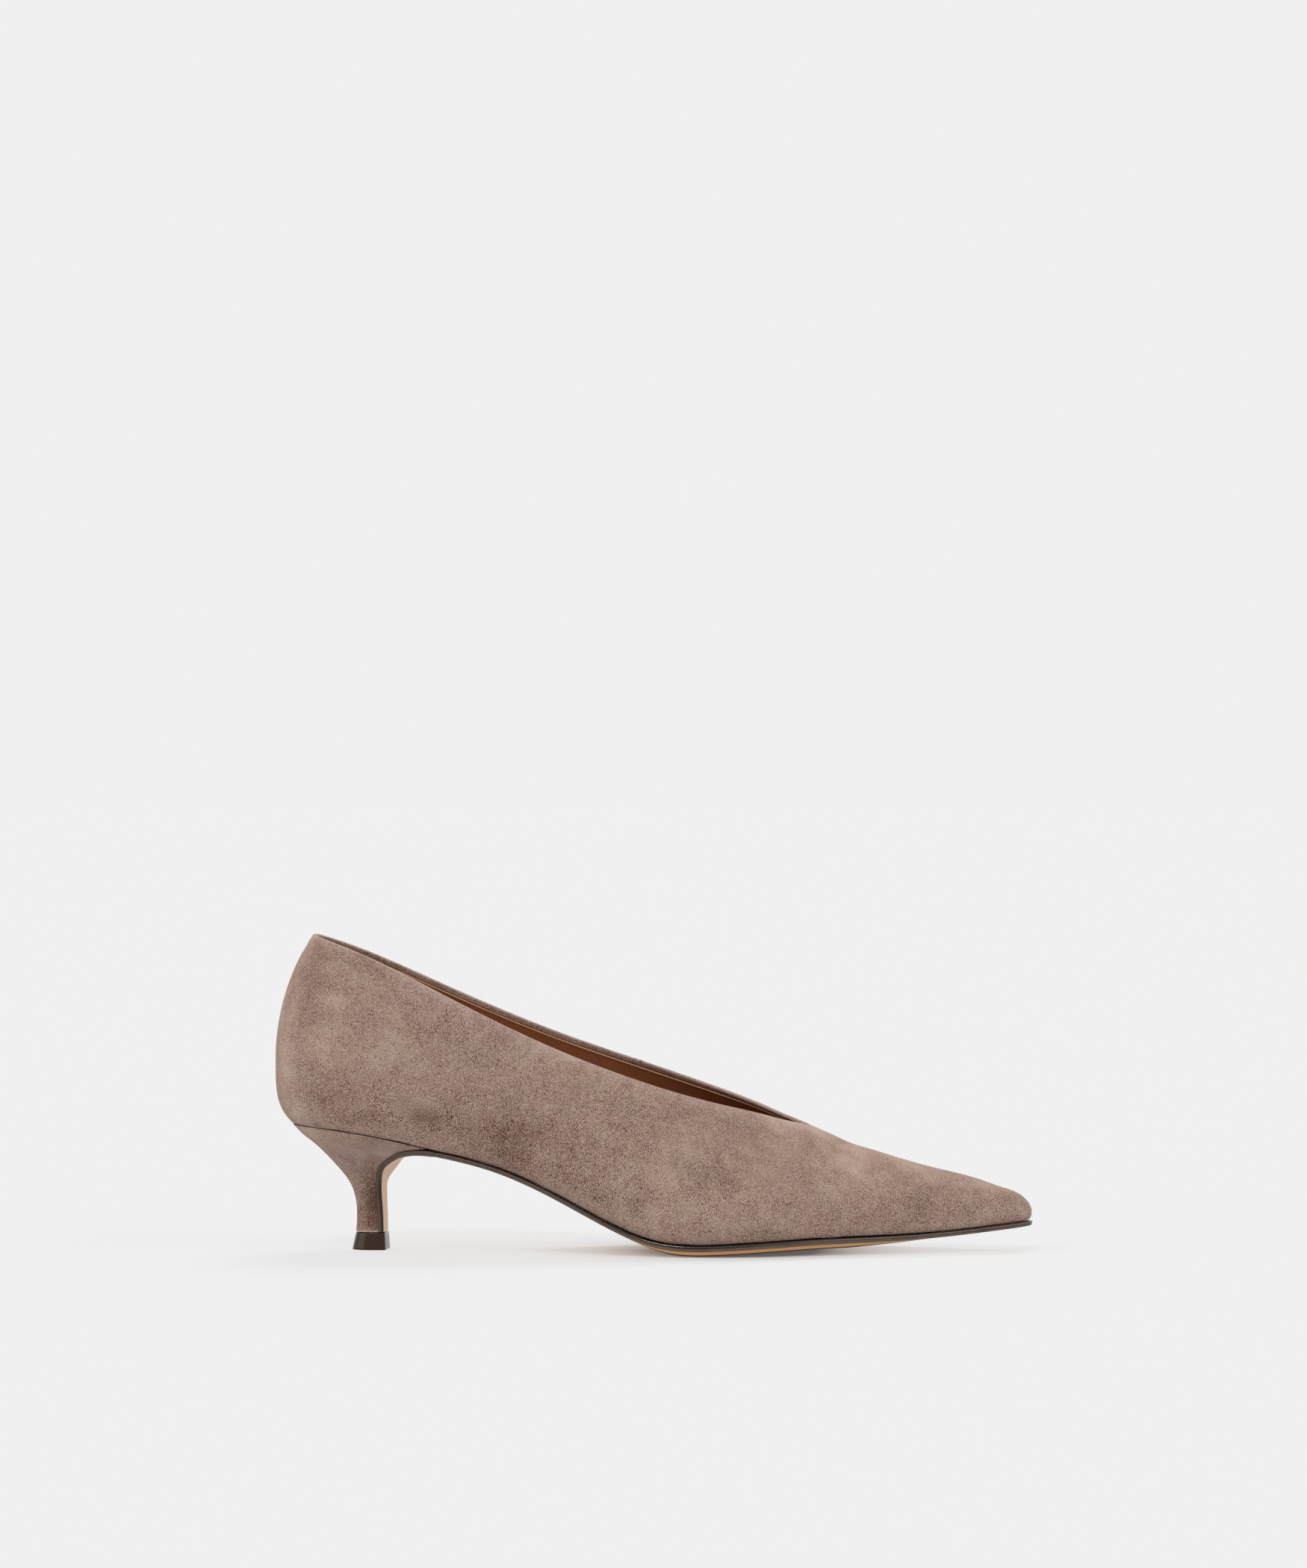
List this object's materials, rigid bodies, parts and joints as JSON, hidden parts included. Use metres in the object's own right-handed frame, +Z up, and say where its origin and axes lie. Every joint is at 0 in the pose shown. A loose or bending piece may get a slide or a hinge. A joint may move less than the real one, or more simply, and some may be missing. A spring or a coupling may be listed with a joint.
{
  "type": "kitten heel pump",
  "caption": "Pointed court shoe for the right foot: hollow suede upper open at a deep V topline, low curved covered heel, thin leather sole and a hard top lift.",
  "frame": {"origin": "middle of the shoe's bounding box in plan, on the floor", "axes": "+X towards the toe, +Y towards the inner side of the foot, +Z up"},
  "size_m": [0.2566, 0.0786, 0.1072],
  "materials": {
    "upper": "taupe suede, brushed nap",
    "insole": "smooth tan lining leather",
    "outsole": "natural sole leather, edge dyed dark brown",
    "heel": "taupe suede cover",
    "top_lift": "polished dark brown"
  },
  "bodies": {
    "root": {"upper": "upper", "insole": "insole", "outsole": "outsole", "heel": "heel", "top_lift": "top_lift"}
  },
  "joints": []
}
